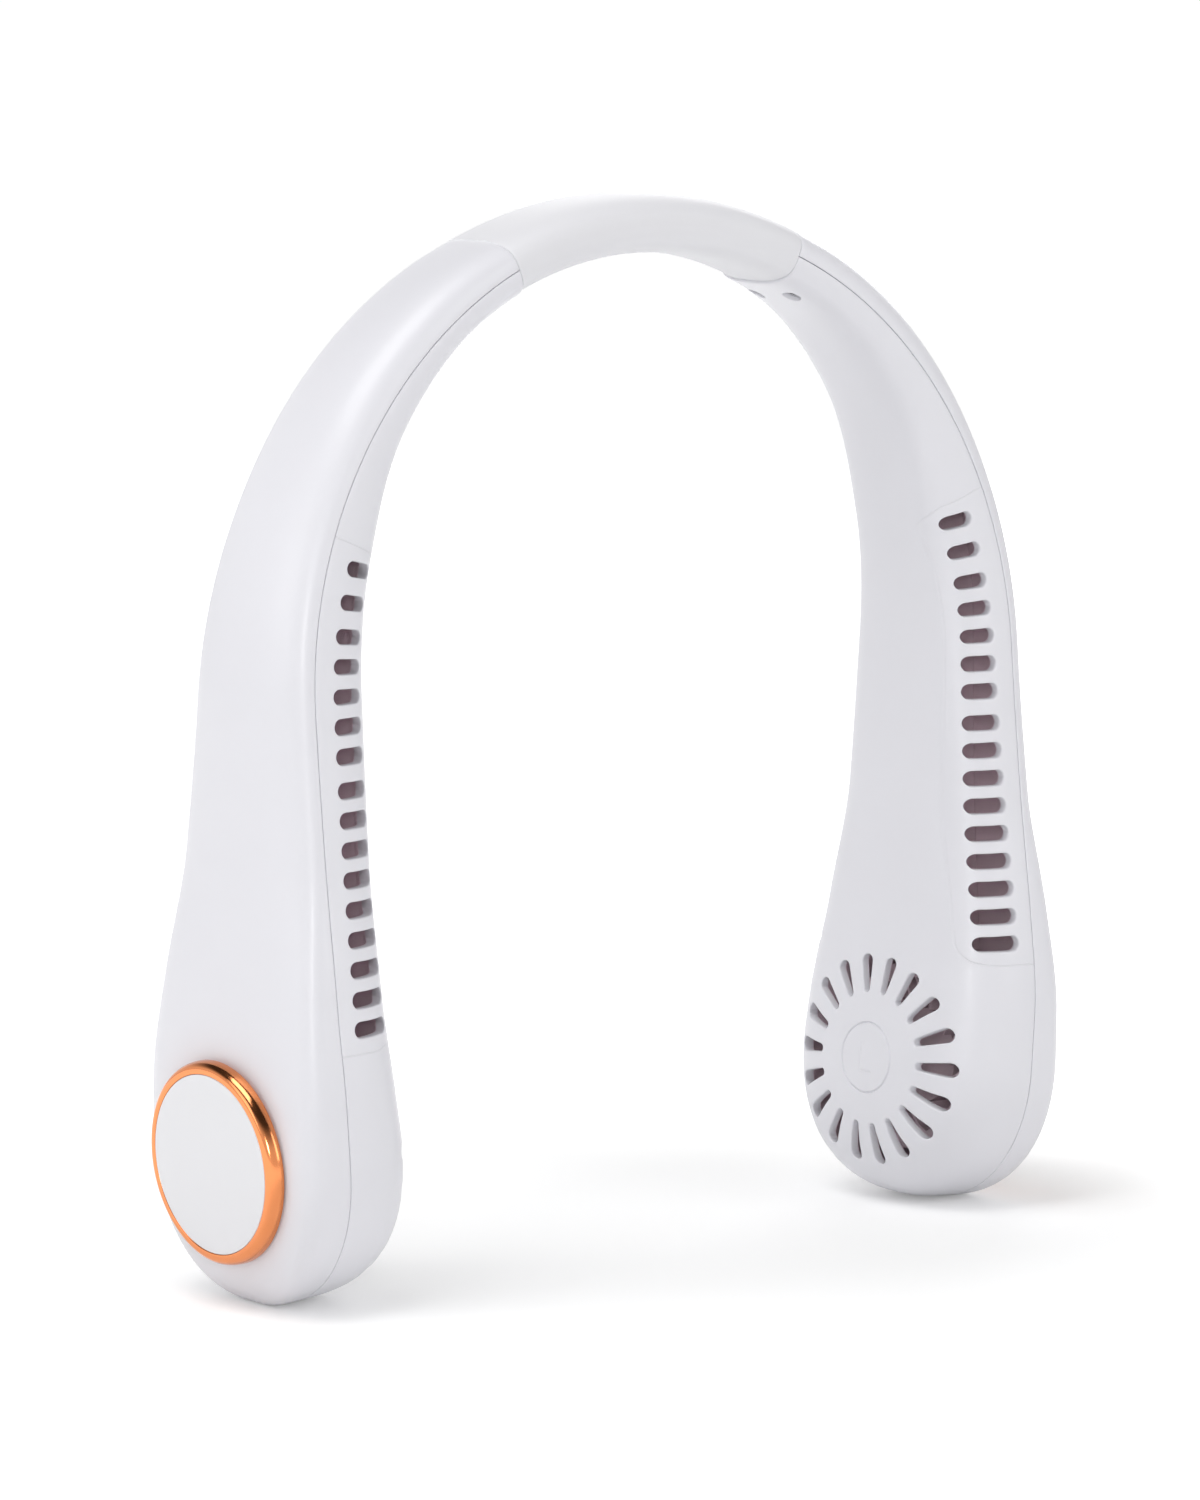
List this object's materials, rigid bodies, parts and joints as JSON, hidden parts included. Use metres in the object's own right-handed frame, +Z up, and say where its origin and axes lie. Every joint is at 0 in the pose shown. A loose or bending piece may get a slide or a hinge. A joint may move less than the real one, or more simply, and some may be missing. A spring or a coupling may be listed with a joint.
{
  "type": "electric neck fan",
  "caption": "U-shaped bladeless neck fan: soft bendable neck band between hollow arms, each with a blower in a round paddle, slotted air outlets and a copper-ringed disc cover.",
  "frame": {"origin": "on the floor below the middle of the band, with the fan standing on its two paddle tips", "axes": "+Z up through the band, +X across the wearer to the right arm, -Y the edge with the outlet slots"},
  "size_m": [0.23, 0.0602, 0.2359],
  "materials": {
    "white_shell": "satin moulded",
    "white_gloss": "gloss moulded",
    "soft_band": "matt soft-touch silicone",
    "copper_trim": "polished copper-coloured plating on plastic",
    "bright_steel": "bright",
    "spring_steel": "tempered",
    "bronze": "sintered",
    "motor_iron": "laminated",
    "copper_wire": "enamelled wire",
    "magnet_dark": "ferrite",
    "blower_grey": "moulded",
    "dark_plastic": "moulded",
    "cell_wrap": "wrapped can",
    "lead_jacket": "insulated lead",
    "board_green": "solder mask",
    "clear_guide": "clear"
  },
  "bodies": {
    "neck_band": {"neck_band": "soft_band", "band_spring_strip": "spring_steel", "band_lead": "lead_jacket"},
    "left_arm": {"left_air_guide": "blower_grey", "left_anchor_screws": "bright_steel", "left_arm_lead": "lead_jacket", "left_band_anchor": "dark_plastic", "left_bearing_sleeve": "bronze", "left_cell": "cell_wrap", "left_disc_cover": "white_gloss", "left_inner_shell": "white_shell", "left_motor_base": "dark_plastic", "left_motor_lead": "lead_jacket", "left_motor_screws": "bright_steel", "left_outer_shell": "white_shell", "left_stator_core": "motor_iron", "left_trim_ring": "copper_trim", "left_windings": "copper_wire", "circuit_board": "board_green", "charging_socket": "bright_steel", "button_switch": "dark_plastic", "status_lights": "clear_guide"},
    "right_arm": {"right_air_guide": "blower_grey", "right_anchor_screws": "bright_steel", "right_arm_lead": "lead_jacket", "right_band_anchor": "dark_plastic", "right_bearing_sleeve": "bronze", "right_cell": "cell_wrap", "right_disc_cover": "white_gloss", "right_inner_shell": "white_shell", "right_motor_base": "dark_plastic", "right_motor_lead": "lead_jacket", "right_motor_screws": "bright_steel", "right_outer_shell": "white_shell", "right_stator_core": "motor_iron", "right_trim_ring": "copper_trim", "right_windings": "copper_wire"},
    "left_rotor": {"left_impeller": "blower_grey", "left_magnet": "magnet_dark", "left_rotor_can": "bright_steel", "left_shaft": "bright_steel"},
    "right_rotor": {"right_impeller": "blower_grey", "right_magnet": "magnet_dark", "right_rotor_can": "bright_steel", "right_shaft": "bright_steel"},
    "power_button": {"power_button": "white_gloss"}
  },
  "joints": [
    {"name": "left_arm_flex", "type": "hinge", "parent": "neck_band", "child": "left_arm", "pos_m": [-0.02036, 0, 0.22737], "axis": [0, 1, 0], "range_deg": [-10, 30], "stiffness_Nm_per_rad": 3, "deforming": ["neck_band", "band_spring_strip", "band_lead"]},
    {"name": "right_arm_flex", "type": "hinge", "parent": "neck_band", "child": "right_arm", "pos_m": [0.02036, 0, 0.22737], "axis": [0, -1, 0], "range_deg": [-10, 30], "stiffness_Nm_per_rad": 3, "deforming": ["neck_band", "band_spring_strip", "band_lead"]},
    {"name": "left_fan_spin", "type": "hinge", "parent": "left_arm", "child": "left_rotor", "pos_m": [-0.09842, 0, 0.03288], "axis": [0.9976, 0, 0.0698], "continuous": true},
    {"name": "right_fan_spin", "type": "hinge", "parent": "right_arm", "child": "right_rotor", "pos_m": [0.09842, 0, 0.03288], "axis": [-0.9976, 0, 0.0698], "continuous": true},
    {"name": "power_button_press", "type": "slide", "parent": "left_arm", "child": "power_button", "axis": [0, -1, 0], "range_m": [0, 0.0006], "stiffness_N_per_m": 800}
  ]
}
